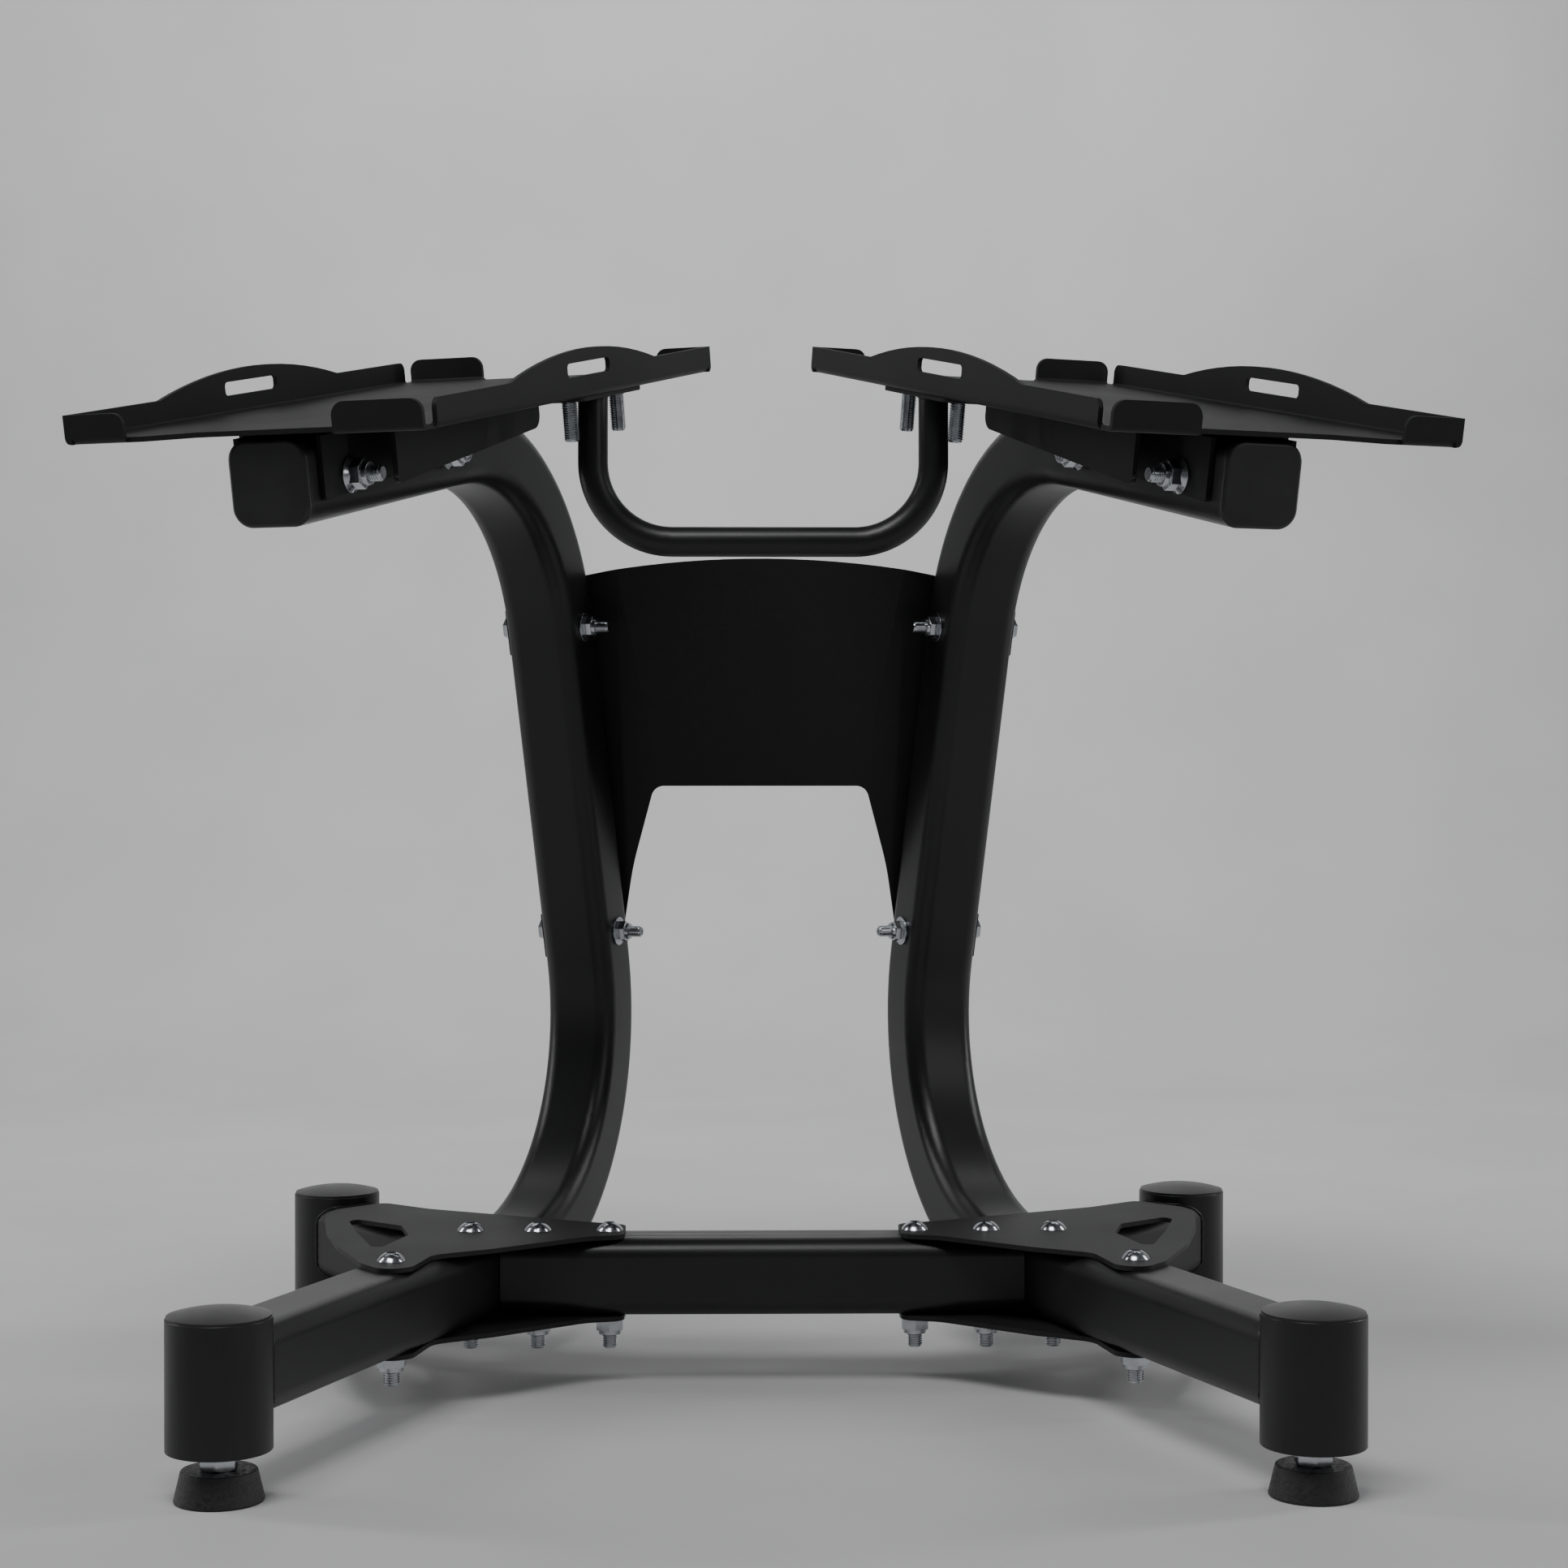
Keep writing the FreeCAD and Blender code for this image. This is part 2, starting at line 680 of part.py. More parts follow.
def make_arm_fasteners():
    """The rear bolt is the shorter one, so that it clears the channel's flange."""
    long_bolt = flange_bolt(M10, 16.0, 8.0, CLAMP_GRIP + CLAMP_NUT + 8.0, 8.0)
    short_bolt = flange_bolt(M10, 16.0, 8.0, CLAMP_GRIP + CLAMP_NUT + 2.0, 2.0)
    nut = lock_nut(16.0, CLAMP_NUT, M10, -CLAMP_GRIP, 22.0)
    add_set("front_clamp_bolts", [along_arm_bolt(long_bolt, FRONT_CLAMP_X)])
    add_set("rear_clamp_bolts", [along_arm_bolt(short_bolt, REAR_CLAMP_X)])
    add_set("clamp_nuts", [along_arm_bolt(nut, x) for x in (FRONT_CLAMP_X, REAR_CLAMP_X)])


def make_arm_cap():
    plug = tube_face(TUBE - 2 * WALL - 0.3, TUBE - 2 * WALL - 0.3, TUBE_R - WALL, 2.5)
    plug = plug.extrude(V(16, 0, 0))
    plug.translate(V(-16, 0, 0))
    lid = tube_face(TUBE, TUBE, TUBE_R, 0).extrude(V(5, 0, 0))
    front = [e for e in lid.Edges if e.BoundBox.XMin > 4.9]
    lid = lid.makeFillet(2.5, front)
    return moved(lid.fuse(plug), arm_placement())


def make_tray_side():
    add_pair("tray", make_tray())
    add_pair("tray_channel", make_channel())
    add_pair("inner_channel_doubler", make_doubler(-CHANNEL_HALF - PLATE))
    add_pair("outer_channel_doubler", make_doubler(CHANNEL_HALF))
    inner, outer = make_cheeks()
    add_pair("inner_arm_cheek", inner)
    add_pair("outer_arm_cheek", outer)
    add_pair("arm_end_cap", make_arm_cap())
    make_arm_fasteners()


# ---------------------------------------------------------------- brace

BRACE_TUBE_R = 9.5
BRACE_BEND = 50.0
BRACE_BOTTOM = 544.0
BRACE_X = -56.0
BRACE_Y = -95.0
BRACE_PITCH = 76.0


def brace_bolt_points():
    return [(BRACE_X - BRACE_PITCH / 2, BRACE_Y), (BRACE_X + BRACE_PITCH / 2, BRACE_Y)]


def brace_foot():
    """World position of the brace leg under the right-hand tray."""
    return tray_placement().multVec(V(BRACE_X, BRACE_Y, -PLATE))


def make_brace_plate():
    half = 52.0
    deep = 14.0
    pts = [
        (BRACE_X - half, BRACE_Y - deep, 8.0),
        (BRACE_X + half, BRACE_Y - deep, 8.0),
        (BRACE_X + half, BRACE_Y + deep, 8.0),
        (BRACE_X - half, BRACE_Y + deep, 8.0),
    ]
    plate = slab(pts, -PLATE, 0)
    for x, y in brace_bolt_points():
        plate = plate.cut(rod(M10 / 2, 10, V(x, y, -8), V(0, 0, 1)))
    return moved(plate, tray_placement())


def brace_path_tube(radius):
    foot = brace_foot()
    x = foot.x
    y = foot.y
    top = foot.z + 40
    low = BRACE_BOTTOM
    r = BRACE_BEND
    k = r * math.sqrt(0.5)
    edges = [
        Part.makeLine(V(-x, y, top), V(-x, y, low + r)),
        Part.Arc(V(-x, y, low + r), V(-x + r - k, y, low + r - k), V(-x + r, y, low)).toShape(),
        Part.makeLine(V(-x + r, y, low), V(x - r, y, low)),
        Part.Arc(V(x - r, y, low), V(x - r + k, y, low + r - k), V(x, y, low + r)).toShape(),
        Part.makeLine(V(x, y, low + r), V(x, y, top)),
    ]
    ring = Part.Wire(Part.makeCircle(radius, V(-x, y, top), V(0, 0, 1)))
    return Part.Wire(edges).makePipeShell([ring], True, True, 2)


def make_brace_tube():
    tube = brace_path_tube(BRACE_TUBE_R).cut(brace_path_tube(BRACE_TUBE_R - 1.8))
    above = moved(box(-200, 200, -200, 0, -PLATE, 200), tray_placement())
    return tube.cut(above).cut(mirrored(above))


def make_brace():
    add("brace_tube", make_brace_tube())
    add_pair("brace_plate", make_brace_plate())
    bolts = []
    for x, y in brace_bolt_points():
        local = FreeCAD.Placement(V(x, y, SHEET), FreeCAD.Rotation())
        bolts.append(moved(button_bolt(31.0, 25.0), tray_placement().multiply(local)))
    add_set("brace_bolts", bolts)


# ---------------------------------------------------------------- back panel

PANEL_SHEET = 2.0
PANEL_BOLT_Z = (284.0, 497.0)
EAR_HALF = 16.0
EXTRA_TILT = 1.6


def straight_placement():
    """Frame on the upright's straight run: X forward normal, Y outward, Z up along it."""
    tilt = FreeCAD.Rotation(V(0, 1, 0), LEAN)
    local = FreeCAD.Placement(straight_foot(), tilt)
    return frame_placement().multiply(local)


def along_straight(z):
    return (z - straight_foot().z) / COS_LEAN


def panel_drills(radius, y0, y1):
    drills = []
    for z in PANEL_BOLT_Z:
        s = along_straight(z)
        drills.append(moved(rod(radius, y1 - y0, V(0, y0, s), V(0, 1, 0)), straight_placement()))
    return drills


def panel_tilt():
    """Backward lean of the flat middle, a little steeper than the uprights'."""
    run = math.tan(math.radians(LEAN)) * COS_TOE
    return math.degrees(math.atan(run)) + EXTRA_TILT


def panel_middle_placement():
    corner = straight_placement().multVec(V(-HALF, -HALF, along_straight(330.0)))
    tilt = FreeCAD.Rotation(V(1, 0, 0), panel_tilt())
    return FreeCAD.Placement(V(0, corner.y, corner.z), tilt)


def panel_prism():
    """Front elevation of the panel, in X and Z, as a prism along Y."""
    side = 220.0
    crown = 545.0
    edges = [
        Part.makeLine(V(-side, 0, 258), V(-side, 0, 520)),
        Part.makeLine(V(-side, 0, 520), V(-155, 0, 527)),
        Part.Arc(V(-155, 0, 527), V(0, 0, crown), V(155, 0, 527)).toShape(),
        Part.makeLine(V(155, 0, 527), V(side, 0, 520)),
        Part.makeLine(V(side, 0, 520), V(side, 0, 258)),
        Part.makeLine(V(side, 0, 258), V(-side, 0, 258)),
    ]
    prism = Part.Face(Part.Wire(edges)).extrude(V(0, 500, 0))
    opening = Part.Face(rounded_polygon([
        (-75.0, 387.0, 9.0),
        (-90.5, 330.0, 200.0),
        (-101.0, 262.0, 0),
        (-101.0, 240.0, 0),
        (101.0, 240.0, 0),
        (101.0, 262.0, 0),
        (90.5, 330.0, 200.0),
        (75.0, 387.0, 9.0),
    ])).extrude(V(0, 0, -500))
    opening.rotate(V(0, 0, 0), V(1, 0, 0), 90)
    return prism.cut(opening)


def make_panel():
    middle_at = panel_middle_placement()
    sheet = PANEL_SHEET
    middle = moved(box(-300, 300, 0, sheet, -200, 400), middle_at)
    front_half = moved(box(-600, 600, -600, 0, -600, 600), middle_at)
    wing = moved(box(-HALF - sheet, -HALF, -400, HALF + sheet, -40, 300), straight_placement())
    ahead_of_wing = moved(box(-HALF, 900, -900, 900, -900, 900), straight_placement())
    middle = middle.cut(ahead_of_wing).cut(mirrored(ahead_of_wing))
    wing = wing.cut(front_half)
    half_space = box(0, 600, -600, 600, 0, 900)
    wing = wing.common(half_space)
    panel = middle.fuse(wing).fuse(mirrored(wing)).common(panel_prism())
    ears = []
    for z in PANEL_BOLT_Z:
        s = along_straight(z)
        top = min(s + EAR_HALF, along_straight(512.0))
        ear = box(-HALF - sheet, 14.0, HALF, HALF + sheet, s - EAR_HALF, top)
        ear = moved(ear, straight_placement())
        ears.append(ear)
        ears.append(mirrored(ear))
    panel = panel.multiFuse(ears).removeSplitter()
    for drill in panel_drills(M8 / 2 + HOLE_PLAY, HALF - 5, HALF + 8):
        panel = panel.cut(drill).cut(mirrored(drill))
    return panel


def along_panel_bolt(shape, z):
    turn = FreeCAD.Rotation(V(1, 0, 0), -90)
    local = FreeCAD.Placement(V(0, HALF + PANEL_SHEET, along_straight(z)), turn)
    return moved(shape, straight_placement().multiply(local))


def make_panel_side():
    add("back_panel", make_panel())
    grip = TUBE + PANEL_SHEET
    bolt = flange_bolt(M8, 13.0, 6.5, grip + 1.6 + 8.0 + 9.0, 9.0)
    ring = washer(20.0, 8.5, 1.6, -grip)
    nut = lock_nut(13.0, 8.0, M8, -grip - 1.6, 0.0)
    add_set("panel_bolts", [along_panel_bolt(bolt, z) for z in PANEL_BOLT_Z])
    add_set("panel_washers", [along_panel_bolt(ring, z) for z in PANEL_BOLT_Z])
    add_set("panel_lock_nuts", [along_panel_bolt(nut, z) for z in PANEL_BOLT_Z])


make_base()
make_feet()
make_tray_side()
make_brace()
make_panel_side()

for node_name, node_shape in nodes.items():
    node_shape.translate(V(0, CROSSBAR_BACK, 0))
    node_shape.exportStep("parts/" + node_name + ".step")
print(len(nodes), "nodes written")
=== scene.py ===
import json
import math

import bmesh
import bpy
from mathutils import Euler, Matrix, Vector


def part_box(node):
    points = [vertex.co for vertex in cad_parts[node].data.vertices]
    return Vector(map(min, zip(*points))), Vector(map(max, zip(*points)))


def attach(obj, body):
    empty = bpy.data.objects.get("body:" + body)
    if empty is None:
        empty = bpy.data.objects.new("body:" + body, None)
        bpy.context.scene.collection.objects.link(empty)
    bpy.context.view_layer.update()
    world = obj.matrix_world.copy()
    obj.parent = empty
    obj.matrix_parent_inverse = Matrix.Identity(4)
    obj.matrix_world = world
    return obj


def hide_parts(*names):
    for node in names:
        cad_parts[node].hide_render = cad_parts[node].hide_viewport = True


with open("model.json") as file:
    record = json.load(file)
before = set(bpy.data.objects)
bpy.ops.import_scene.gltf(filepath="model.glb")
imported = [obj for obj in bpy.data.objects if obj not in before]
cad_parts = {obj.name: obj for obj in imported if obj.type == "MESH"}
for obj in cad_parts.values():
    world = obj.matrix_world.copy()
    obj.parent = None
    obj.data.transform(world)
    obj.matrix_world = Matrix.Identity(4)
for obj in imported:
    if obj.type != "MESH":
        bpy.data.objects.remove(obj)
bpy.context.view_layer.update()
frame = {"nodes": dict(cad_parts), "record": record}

NODES = frame["nodes"]
MOUNTS = {mount["name"]: mount for mount in frame["record"]["mounts"]}
BODY = "stand"
MM = 0.001

# directions that the frame gives: the right-hand tray's normal, and the toe-out of its bent frame
RIGHT_NORMAL = Vector(MOUNTS["right_tray_deck"]["axis"]).normalized()
TOE = math.atan2(RIGHT_NORMAL.x, -RIGHT_NORMAL.y)
OUTWARD = Vector((math.cos(TOE), math.sin(TOE), 0.0))
FORWARD = Vector((math.sin(TOE), -math.cos(TOE), 0.0))
UP = Vector((0.0, 0.0, 1.0))


def mirrored(vector):
    return Vector((-vector.x, vector.y, vector.z))


# ------------------------------------------------------------------ materials

def start_material(name, color, metallic, roughness):
    material = bpy.data.materials.new(name)
    material.use_nodes = True
    shader = material.node_tree.nodes["Principled BSDF"]
    shader.inputs["Base Color"].default_value = (*color, 1.0)
    shader.inputs["Metallic"].default_value = metallic
    shader.inputs["Roughness"].default_value = roughness
    return material, shader


def noise_node(material, scale, detail, roughness=0.55):
    tree = material.node_tree
    place = tree.nodes.new("ShaderNodeTexCoord")
    noise = tree.nodes.new("ShaderNodeTexNoise")
    noise.inputs["Scale"].default_value = scale
    noise.inputs["Detail"].default_value = detail
    noise.inputs["Roughness"].default_value = roughness
    tree.links.new(place.outputs["Object"], noise.inputs["Vector"])
    return noise


def vary_color(material, shader, noise, dark, light, low=0.35, high=0.65):
    tree = material.node_tree
    ramp = tree.nodes.new("ShaderNodeValToRGB")
    ramp.color_ramp.elements[0].position = low
    ramp.color_ramp.elements[1].position = high
    ramp.color_ramp.elements[0].color = (*dark, 1.0)
    ramp.color_ramp.elements[1].color = (*light, 1.0)
    tree.links.new(noise.outputs["Fac"], ramp.inputs["Fac"])
    tree.links.new(ramp.outputs["Color"], shader.inputs["Base Color"])


def vary_roughness(material, shader, noise, low, high):
    tree = material.node_tree
    spread = tree.nodes.new("ShaderNodeMapRange")
    spread.inputs["From Min"].default_value = 0.3
    spread.inputs["From Max"].default_value = 0.7
    spread.inputs["To Min"].default_value = low
    spread.inputs["To Max"].default_value = high
    tree.links.new(noise.outputs["Fac"], spread.inputs["Value"])
    tree.links.new(spread.outputs["Result"], shader.inputs["Roughness"])


def add_bump(material, shader, noise, strength, distance):
    tree = material.node_tree
    bump = tree.nodes.new("ShaderNodeBump")
    bump.inputs["Strength"].default_value = strength
    bump.inputs["Distance"].default_value = distance
    tree.links.new(noise.outputs["Fac"], bump.inputs["Height"])
    tree.links.new(bump.outputs["Normal"], shader.inputs["Normal"])


def powder_coat(name, dark, light, rough_low, rough_high, shine, grain_depth):
    """Baked powder paint: fine orange-peel grain, with a slow drift of tone and sheen."""
    material, shader = start_material(name, dark, 0.0, rough_low)
    shader.inputs["Specular IOR Level"].default_value = shine
    grain = noise_node(material, 1400.0, 3.0)
    drift = noise_node(material, 9.0, 4.0)
    vary_color(material, shader, drift, dark, light)
    vary_roughness(material, shader, drift, rough_low, rough_high)
    add_bump(material, shader, grain, 0.35, grain_depth)
    return material


def zinc_plate():
    material, shader = start_material("zinc_plate", (0.52, 0.54, 0.56), 1.0, 0.2)
    drift = noise_node(material, 120.0, 2.0)
    vary_color(material, shader, drift, (0.46, 0.48, 0.51), (0.58, 0.60, 0.62))
    vary_roughness(material, shader, drift, 0.15, 0.24)
    return material


def cap_plastic():
    material, shader = start_material("cap_plastic", (0.012, 0.012, 0.013), 0.0, 0.36)
    drift = noise_node(material, 25.0, 3.0)
    vary_color(material, shader, drift, (0.010, 0.010, 0.011), (0.016, 0.016, 0.017))
    vary_roughness(material, shader, drift, 0.30, 0.42)
    add_bump(material, shader, noise_node(material, 2200.0, 2.0), 0.22, 0.0001)
    return material


def pad_rubber():
    """Moulded rubber with a coarse speckled sheen."""
    material, shader = start_material("pad_rubber", (0.01, 0.01, 0.01), 0.0, 0.5)
    speckle = noise_node(material, 420.0, 6.0, 0.7)
    vary_color(material, shader, speckle, (0.007, 0.007, 0.007), (0.020, 0.0195, 0.019))
    vary_roughness(material, shader, speckle, 0.22, 0.7)
    add_bump(material, shader, speckle, 0.9, 0.0006)
    return material


TUBE_PAINT = powder_coat(
    "tube_paint", (0.0075, 0.0076, 0.0078), (0.0105, 0.0106, 0.0109), 0.34, 0.41, 0.42, 0.00012
)
SHEET_PAINT = powder_coat(
    "sheet_paint", (0.010, 0.0101, 0.0103), (0.014, 0.0141, 0.0144), 0.50, 0.58, 0.26, 0.00018
)
ZINC = zinc_plate()
PLASTIC = cap_plastic()
RUBBER = pad_rubber()

FINISH = {
    "black_tube": TUBE_PAINT,
    "black_sheet": SHEET_PAINT,
    "zinc_steel": ZINC,
    "black_plastic": PLASTIC,
    "rubber": RUBBER,
}


def paint_nodes():
    for part in frame["record"]["subparts"]:
        mesh = NODES[part["node"]].data
        mesh.materials.clear()
        mesh.materials.append(FINISH[part["material_slot"]])


# ------------------------------------------------------------------ edges

def soften(node, width, segments=2, angle=35.0):
    """Rounds the hard edges of a CAD piece a little, as deburring and paint do."""
    piece = NODES[node]
    weld = piece.modifiers.new("weld", "WELD")
    weld.merge_threshold = 0.00001
    bevel = piece.modifiers.new("edge", "BEVEL")
    bevel.width = width
    bevel.segments = segments
    bevel.limit_method = "ANGLE"
    bevel.angle_limit = math.radians(angle)
    bevel.use_clamp_overlap = True
    bevel.miter_outer = "MITER_ARC"
    normals = piece.modifiers.new("normals", "WEIGHTED_NORMAL")
    normals.keep_sharp = False
    for polygon in piece.data.polygons:
        polygon.use_smooth = True


def soften_all():
    for node in NODES:
        if "bolts" in node or "nuts" in node or "washers" in node:
            soften(node, 0.25 * MM)
        elif "insert" in node or "stud" in node:
            soften(node, 0.3 * MM)
        elif "post" in node or "pad" in node:
            soften(node, 0.7 * MM, 3)
        else:
            soften(node, 0.55 * MM)


# ------------------------------------------------------------------ mesh helpers

def new_piece(name, mesh_parts, material):
    """One object from several (vertices, faces) lists."""
    verts = []
    faces = []
    for part_verts, part_faces in mesh_parts:
        start = len(verts)
        verts.extend(part_verts)
        faces.extend([[start + i for i in face] for face in part_faces])
    mesh = bpy.data.meshes.new(name)
    mesh.from_pydata([tuple(v) for v in verts], [], faces)
    mesh.validate()
    mesh.materials.append(material)
    for polygon in mesh.polygons:
        polygon.use_smooth = True
    piece = bpy.data.objects.new(name, mesh)
    bpy.context.scene.collection.objects.link(piece)
    return piece


def mesh_lists(work):
    work.verts.index_update()
    verts = [vert.co.copy() for vert in work.verts]
    faces = [[vert.index for vert in face.verts] for face in work.faces]
    work.free()
    return verts, faces


def placed(part, origin, axis):
    """Turns a part built along +Z so that it runs along axis from origin."""
    verts, faces = part
    turn = UP.rotation_difference(axis).to_matrix()
    return [origin + turn @ vert for vert in verts], faces


def islands(node):
    """Vertex positions of each separate solid in a CAD node."""
    work = bmesh.new()
    work.from_mesh(NODES[node].data)
    bmesh.ops.remove_doubles(work, verts=work.verts, dist=0.00001)
    left = set(work.verts)
    groups = []
    while left:
        stack = [left.pop()]
        group = []
        while stack:
            vert = stack.pop()
            group.append(vert.co.copy())
            for edge in vert.link_edges:
                other = edge.other_vert(vert)
                if other in left:
                    left.remove(other)
                    stack.append(other)
        groups.append(group)
    work.free()
    return groups


# ------------------------------------------------------------------ threads

def thread_rod(diameter, pitch, length, turns_of=28):
    """A solid rod with a real helical thread, chamfered at its tip, from z=0 to z=length."""
    crest = diameter / 2
    root = 0.86 * crest
    profile = (root, crest, crest, root)
    offsets = (0.12, 0.42, 0.58, 0.88)
    rows = 4 * (int(length / pitch) + 4)
    verts = []
    for row in range(rows):
        for step in range(turns_of):
            angle = 2 * math.pi * step / turns_of
            z = pitch * (row // 4 + offsets[row % 4] + step / turns_of - 2.0)
            radius = min(profile[row % 4], max(0.6 * root, 0.72 * crest + max(z, 0.0)))
            verts.append((radius * math.cos(angle), radius * math.sin(angle), z))
    faces = []
    for row in range(rows - 5):
        for step in range(turns_of):
            a = row * turns_of + step
            b = a + 1 if step + 1 < turns_of else (row + 4) * turns_of
            faces.append((a, b, b + turns_of, a + turns_of))
    work = bmesh.new()
    made = [work.verts.new(v) for v in verts]
    for face in faces:
        work.faces.new([made[i] for i in face])
    for height, normal in ((0.0, -UP), (length, UP)):
        everything = list(work.verts) + list(work.edges) + list(work.faces)
        cut = bmesh.ops.bisect_plane(
            work, geom=everything, plane_co=(0, 0, height), plane_no=normal, clear_outer=True
        )
        rim = [item for item in cut["geom_cut"] if isinstance(item, bmesh.types.BMEdge)]
        bmesh.ops.holes_fill(work, edges=rim, sides=0)
    loose = [vert for vert in work.verts if not vert.link_faces]
    bmesh.ops.delete(work, geom=loose, context="VERTS")
    bmesh.ops.recalc_face_normals(work, faces=work.faces)
    return mesh_lists(work)


def add_threads(node, head_side, diameter, pitch, length):
    """Threads on the bare end of every bolt in a node. head_side is the right-hand bolts' axis."""
    rod = thread_rod(diameter, pitch, length)
    parts = []
    for group in islands(node):
        middle_x = sum(point.x for point in group) / len(group)
        axis = head_side if middle_x > 0 else mirrored(head_side)
        lowest = min(point.dot(axis) for point in group)
        tip = [point for point in group if point.dot(axis) < lowest + 0.05 * MM]
        centre = sum(tip, Vector()) / len(tip)
        parts.append(placed(rod, centre, axis))
    piece = new_piece(node + "_threads", parts, ZINC)
    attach(piece, BODY)
    sharpen(piece, 30.0)


def sharpen(piece, angle):
    """Keeps shading crisp across edges steeper than the angle."""
    piece.data.set_sharp_from_angle(angle=math.radians(angle))


def make_threads():
    add_threads("base_bolts", UP, 10 * MM, 1.5 * MM, 9 * MM)
    add_threads("brace_bolts", RIGHT_NORMAL, 10 * MM, 1.5 * MM, 25 * MM)
    add_threads("front_clamp_bolts", OUTWARD, 10 * MM, 1.5 * MM, 8 * MM)
    add_threads("rear_clamp_bolts", OUTWARD, 10 * MM, 1.5 * MM, 2 * MM)
    add_threads("panel_bolts", OUTWARD, 8 * MM, 1.25 * MM, 9 * MM)


# ------------------------------------------------------------------ levelling studs

def hex_block(flats, low, high, around=72):
    """A solid hexagon about the Z axis with the usual 30 degree chamfers on both ends."""
    end_radius = 0.49 * flats
    slope = math.tan(math.radians(30.0))
    rows = [[], [], [], []]
    for step in range(around):
        angle = 2 * math.pi * step / around
        off = (angle + math.pi / 6) % (math.pi / 3) - math.pi / 6
        radius = flats / 2 / math.cos(off)
        drop = max(0.0, radius - end_radius) * slope
        inner = min(radius, end_radius)
        heights = (low, low + drop, high - drop, high)
        for row, z, r in zip(rows, heights, (inner, radius, radius, inner)):
            row.append((r * math.cos(angle), r * math.sin(angle), z))
    return loft(rows)


def loft(rows):
    """A closed solid through rings of equal count, capped at both ends."""
    count = len(rows[0])
    verts = [Vector(point) for row in rows for point in row]
    faces = [tuple(reversed(range(count)))]
    for level in range(len(rows) - 1):
        for i in range(count):
            n = (i + 1) % count
            a = level * count
            faces.append((a + i, a + n, a + count + n, a + count + i))
    top = (len(rows) - 1) * count
    faces.append(tuple(range(top, top + count)))
    return verts, faces


def turned(profile, around=64):
    """A solid of revolution about Z through (radius, height) pairs, from the bottom up."""
    rows = []
    for radius, z in profile:
        row = []
        for step in range(around):
            angle = 2 * math.pi * step / around
            row.append((radius * math.cos(angle), radius * math.sin(angle), z))
        rows.append(row)
    return loft(rows)


STUD_RADIUS = 6.0 * MM
STUD_FLATS = 19.0 * MM
STUD_NUT = (17.6 * MM, 27.4 * MM)


def make_studs():
    """Each levelling stud again, with its thread and its chamfered hexagon."""
    for side in ("right_", "left_"):
        for end in ("front_", "rear_"):
            node = side + end + "foot_stud"
            lowest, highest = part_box(node)
            centre = (lowest + highest) / 2
            base = Vector((centre.x, centre.y, 0.0))
            tip = Vector((centre.x, centre.y, highest.z))
            thread = thread_rod(2 * STUD_RADIUS, 1.75 * MM, highest.z - STUD_NUT[1] + 0.4 * MM)
            foot = [
                (9.7 * MM, lowest.z),
                (10.0 * MM, lowest.z + 0.3 * MM),
                (10.0 * MM, lowest.z + 4.7 * MM),
                (9.7 * MM, lowest.z + 5.0 * MM),
                (5.9 * MM, lowest.z + 5.0 * MM),
                (5.9 * MM, STUD_NUT[0] + 1.0 * MM),
            ]
            parts = [
                placed(thread, tip, -UP),
                placed(hex_block(STUD_FLATS, *STUD_NUT), base, UP),
                placed(turned(foot), base, UP),
            ]
            piece = new_piece(node + "_detail", parts, ZINC)
            sharpen(piece, 25.0)
            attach(piece, node)
            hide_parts(node)


# ------------------------------------------------------------------ weld beads

TUBE_HALF = 25 * MM
TUBE_CORNER = 12 * MM
POST_RADIUS = 29.5 * MM


def tube_outline(per_corner=9, per_side=7):
    """Points round the square tube's section, as (sideways, height) pairs."""
    flat = TUBE_HALF - TUBE_CORNER
    points = []
    for corner in range(4):
        start = math.pi / 2 * corner
        cx = flat * (1 if corner in (0, 3) else -1)
        cy = flat * (1 if corner in (0, 1) else -1)
        for i in range(per_corner):
            a = start + math.pi / 2 * i / (per_corner - 1)
            points.append((cx + TUBE_CORNER * math.cos(a), cy + TUBE_CORNER * math.sin(a)))
        a = start + math.pi / 2
        tail = points[-1]
        for i in range(1, per_side):
            run = 2 * flat * i / per_side
            points.append((tail[0] - run * math.sin(a), tail[1] + run * math.cos(a)))
    return points


def bead(path, radius, sides=8):
    """A closed weld bead along a closed path, with the ripple of its run."""
    count = len(path)
    verts = []
    for i, here in enumerate(path):
        ahead = (path[(i + 1) % count] - path[i - 1]).normalized()
        side = ahead.cross(UP if abs(ahead.z) < 0.9 else FORWARD).normalized()
        lift = side.cross(ahead)
        ripple = radius * (1.0 + 0.14 * (1 if i % 2 else -1))
        for k in range(sides):
            a = 2 * math.pi * k / sides
            verts.append(here + ripple * (math.cos(a) * side + math.sin(a) * lift))
    faces = []
    for i in range(count):
        n = (i + 1) % count
        for k in range(sides):
            m = (k + 1) % sides
            faces.append((i * sides + k, i * sides + m, n * sides + m, n * sides + k))
    return verts, faces


def box_centre(node):
    lowest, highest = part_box(node)
    return (lowest + highest) / 2


def mirrored_part(part):
    verts, faces = part
    return [mirrored(vert) for vert in verts], [tuple(reversed(face)) for face in faces]


def post_bead(post, direction, tube_height):
    sideways = UP.cross(direction)
    path = []
    for across, rise in tube_outline():
        reach = math.sqrt(POST_RADIUS ** 2 - across ** 2)
        point = post - direction * reach + sideways * across
        path.append(Vector((point.x, point.y, tube_height + rise)))
    return bead(path, 1.1 * MM)


def side_bead(root, direction, tube_height):
    """Where the rear leg meets the flat side of the bent frame."""
    sideways = UP.cross(direction)
    path = []
    for across, rise in tube_outline():
        reach = (TUBE_HALF - across * sideways.dot(OUTWARD)) / direction.dot(OUTWARD)
        point = root + direction * reach + sideways * across
        path.append(Vector((point.x, point.y, tube_height + rise)))
    return bead(path, 1.2 * MM)


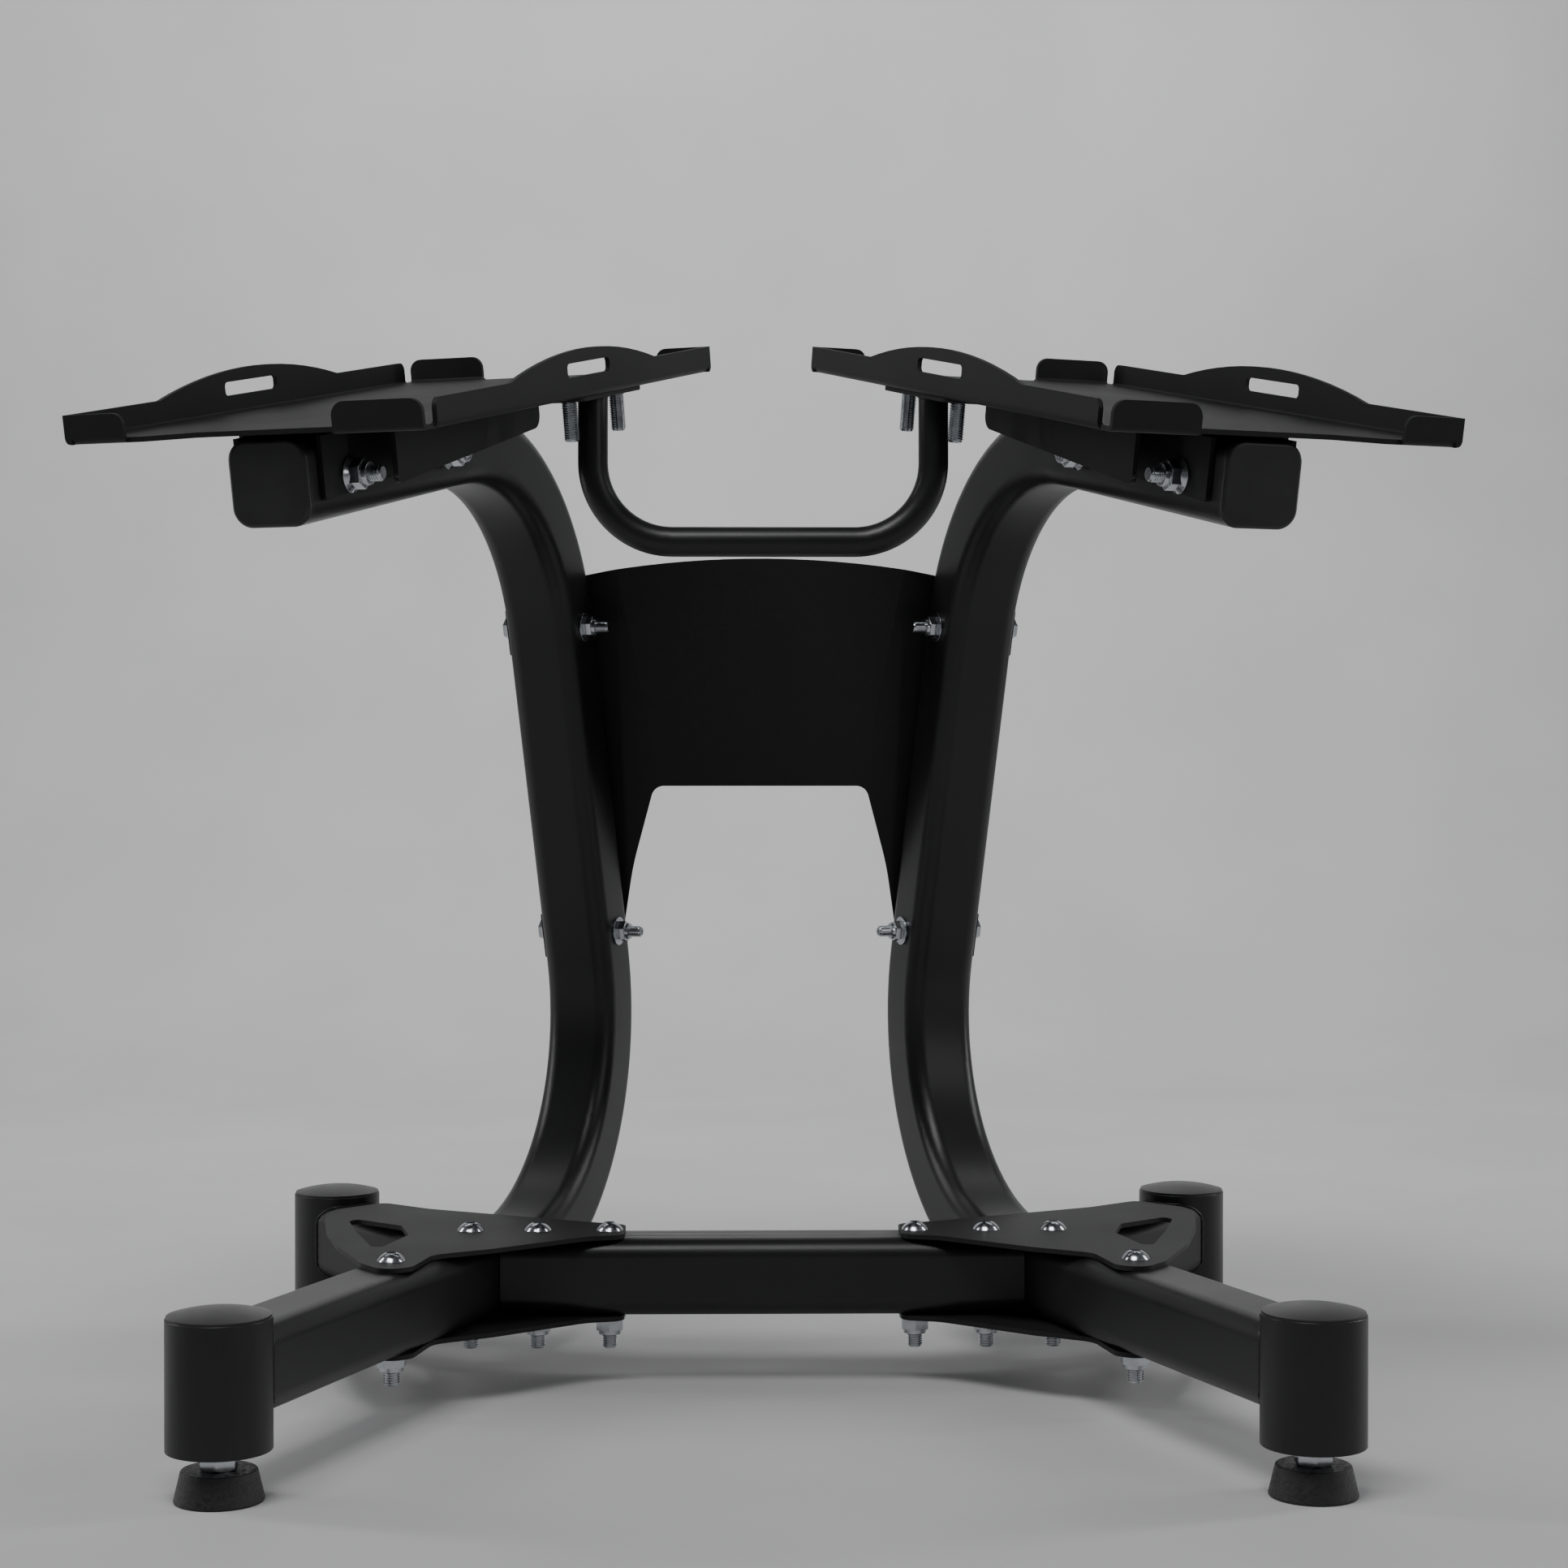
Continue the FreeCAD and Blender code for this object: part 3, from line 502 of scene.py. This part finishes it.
def brace_bead():
    """Where the brace tube meets the end plate, which lies parallel to the tray."""
    lowest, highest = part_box("brace_tube")
    radius = (highest.y - lowest.y) / 2
    centre = Vector((highest.x - radius, (lowest.y + highest.y) / 2, 0.0))
    deck = Vector(MOUNTS["right_tray_deck"]["pos_m"])
    level = RIGHT_NORMAL.dot(deck) - 6 * MM
    path = []
    steps = 40
    for i in range(steps):
        a = 2 * math.pi * i / steps
        x = centre.x + radius * math.cos(a)
        y = centre.y + radius * math.sin(a)
        z = (level - RIGHT_NORMAL.x * x - RIGHT_NORMAL.y * y) / RIGHT_NORMAL.z
        path.append(Vector((x, y, z)))
    return bead(path, 1.1 * MM)


def make_welds():
    height = box_centre("crossbar").z
    front = box_centre("right_front_post")
    rear = box_centre("right_rear_post")
    front.z = rear.z = 0.0
    run = (box_centre("crossbar").y - front.y) / math.cos(TOE)
    root = front - FORWARD * run
    rear_direction = (rear - root).normalized()
    right = {
        "front_post_weld": post_bead(front, FORWARD, height),
        "rear_post_weld": post_bead(rear, rear_direction, height),
        "rear_leg_weld": side_bead(root, rear_direction, height),
        "brace_weld": brace_bead(),
    }
    for name, part in right.items():
        for side, shape in (("right_", part), ("left_", mirrored_part(part))):
            piece = new_piece(side + name, [shape], TUBE_PAINT)
            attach(piece, BODY)


# ------------------------------------------------------------------ stage

def make_stage():
    """A pale floor that curves up into a pale wall behind the stand."""
    half_width = 4.0
    front = -2.6
    bend_start = 1.6
    bend = 0.9
    height = 3.4
    profile = [(front, 0.0), (bend_start, 0.0)]
    steps = 16
    for i in range(1, steps + 1):
        a = math.radians(90.0 * i / steps)
        profile.append((bend_start + bend * math.sin(a), bend - bend * math.cos(a)))
    profile.append((bend_start + bend, height))
    verts = [(x, y, z) for y, z in profile for x in (-half_width, half_width)]
    faces = [(2 * i, 2 * i + 1, 2 * i + 3, 2 * i + 2) for i in range(len(profile) - 1)]
    mesh = bpy.data.meshes.new("studio_floor")
    mesh.from_pydata(verts, [], faces)
    floor = bpy.data.objects.new("studio_floor", mesh)
    bpy.context.scene.collection.objects.link(floor)
    for polygon in mesh.polygons:
        polygon.use_smooth = True
    material, shader = start_material("studio_paper", (0.55, 0.55, 0.55), 0.0, 0.8)
    paper = noise_node(material, 3.0, 3.0)
    vary_color(material, shader, paper, (0.53, 0.53, 0.535), (0.57, 0.57, 0.57))
    mesh.materials.append(material)


def make_light(name, place, aim, size, power, tint=(1.0, 1.0, 1.0)):
    data = bpy.data.lights.new(name, "AREA")
    data.shape = "RECTANGLE"
    data.size, data.size_y = size
    data.energy = power
    data.color = tint
    light = bpy.data.objects.new(name, data)
    light.location = place
    direction = Vector(aim) - Vector(place)
    light.rotation_euler = direction.to_track_quat("-Z", "Y").to_euler()
    bpy.context.scene.collection.objects.link(light)


def make_lights():
    """Dim room, so that black paint stays black, with strips that draw the tubes' edges."""
    world = bpy.data.worlds.new("studio_air")
    world.use_nodes = True
    world.node_tree.nodes["Background"].inputs["Color"].default_value = (0.9, 0.93, 1.0, 1.0)
    world.node_tree.nodes["Background"].inputs["Strength"].default_value = 0.10
    bpy.context.scene.world = world
    middle = (0.0, 0.0, 0.35)
    make_light("key", (-0.5, -1.3, 2.7), middle, (1.5, 0.9), 42.0)
    make_light("fill", (1.9, -1.7, 1.3), middle, (0.8, 1.5), 6.0)
    make_light("left_strip", (-2.2, 0.4, 1.1), middle, (0.3, 1.7), 16.0)
    make_light("right_strip", (2.2, 0.4, 1.1), middle, (0.3, 1.7), 16.0)
    make_light("wall", (0.0, 0.9, 2.0), (0.0, 2.5, 1.0), (2.6, 0.5), 34.0)


def make_camera():
    """Standing in front, at the height of the upper uprights."""
    data = bpy.data.cameras.new("camera")
    data.lens = 66.04
    data.sensor_width = 36.0
    camera = bpy.data.objects.new("camera", data)
    camera.location = (-0.0197, -1.8217, 0.409)
    camera.rotation_euler = Euler((math.radians(90.0 - 0.58), 0.0, math.radians(-1.03)))
    bpy.context.scene.collection.objects.link(camera)
    bpy.context.scene.camera = camera


paint_nodes()
soften_all()
make_threads()
make_studs()
make_welds()
make_stage()
make_lights()
make_camera()
